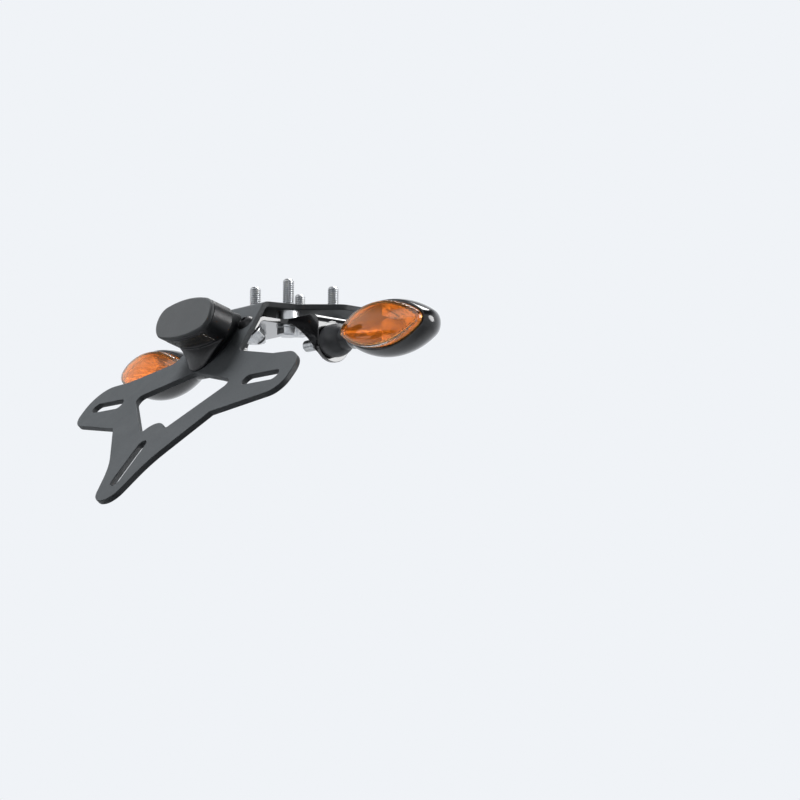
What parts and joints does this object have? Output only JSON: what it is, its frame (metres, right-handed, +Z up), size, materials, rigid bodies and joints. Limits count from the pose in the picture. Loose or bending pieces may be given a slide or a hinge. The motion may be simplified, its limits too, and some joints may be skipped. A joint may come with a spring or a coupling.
{
  "type": "tail tidy",
  "caption": "Folded motorbike tail tidy: a sheet hanger with slots for a number plate, a plate light on its stem and a crossbar that carries an amber indicator on each side.",
  "frame": {"origin": "centre of the rectangle of tail studs, on the upper face of the hanger's top plate", "axes": "+X to the bike's right, +Y to its front, +Z up along the tail studs"},
  "size_m": [0.2528, 0.1454, 0.1219],
  "materials": {
    "powder_coat": "fine-grained satin powder coat",
    "gloss_coat": "gloss",
    "zinc_plate": "bright zinc",
    "black_oxide": "satin black",
    "spacer_alloy": "turned",
    "light_shell": "fine matt grain",
    "clear_lens": "clear",
    "circuit_board": "satin",
    "led": "clear dome",
    "cover_plastic": "satin",
    "rubber": "matt",
    "pod_shell": "gloss",
    "amber_lens": "clear amber",
    "reflector": "bright",
    "bulb_glass": "clear",
    "bulb_socket": "satin"
  },
  "bodies": {
    "root": {"plate_hanger": "powder_coat", "indicator_crossbar": "gloss_coat", "crossbar_bolts": "black_oxide", "crossbar_washers": "zinc_plate", "crossbar_nuts": "zinc_plate", "crossbar_spacers": "spacer_alloy", "tail_bolts": "zinc_plate", "tail_washers": "zinc_plate", "light_housing": "light_shell", "light_end_cap": "light_shell", "light_lens": "clear_lens", "light_board": "circuit_board", "light_leds": "led", "light_screws": "zinc_plate", "wiring_cover": "cover_plastic", "wiring_grommet": "rubber", "right_body": "pod_shell", "right_lens": "amber_lens", "right_reflector": "reflector", "right_bulb": "bulb_glass", "right_bulb_holder": "bulb_socket", "right_stalk": "rubber", "right_stud": "zinc_plate", "right_washer": "black_oxide", "right_nut": "black_oxide", "left_body": "pod_shell", "left_lens": "amber_lens", "left_reflector": "reflector", "left_bulb": "bulb_glass", "left_bulb_holder": "bulb_socket", "left_stalk": "rubber", "left_stud": "zinc_plate", "left_washer": "black_oxide", "left_nut": "black_oxide"}
  },
  "joints": []
}
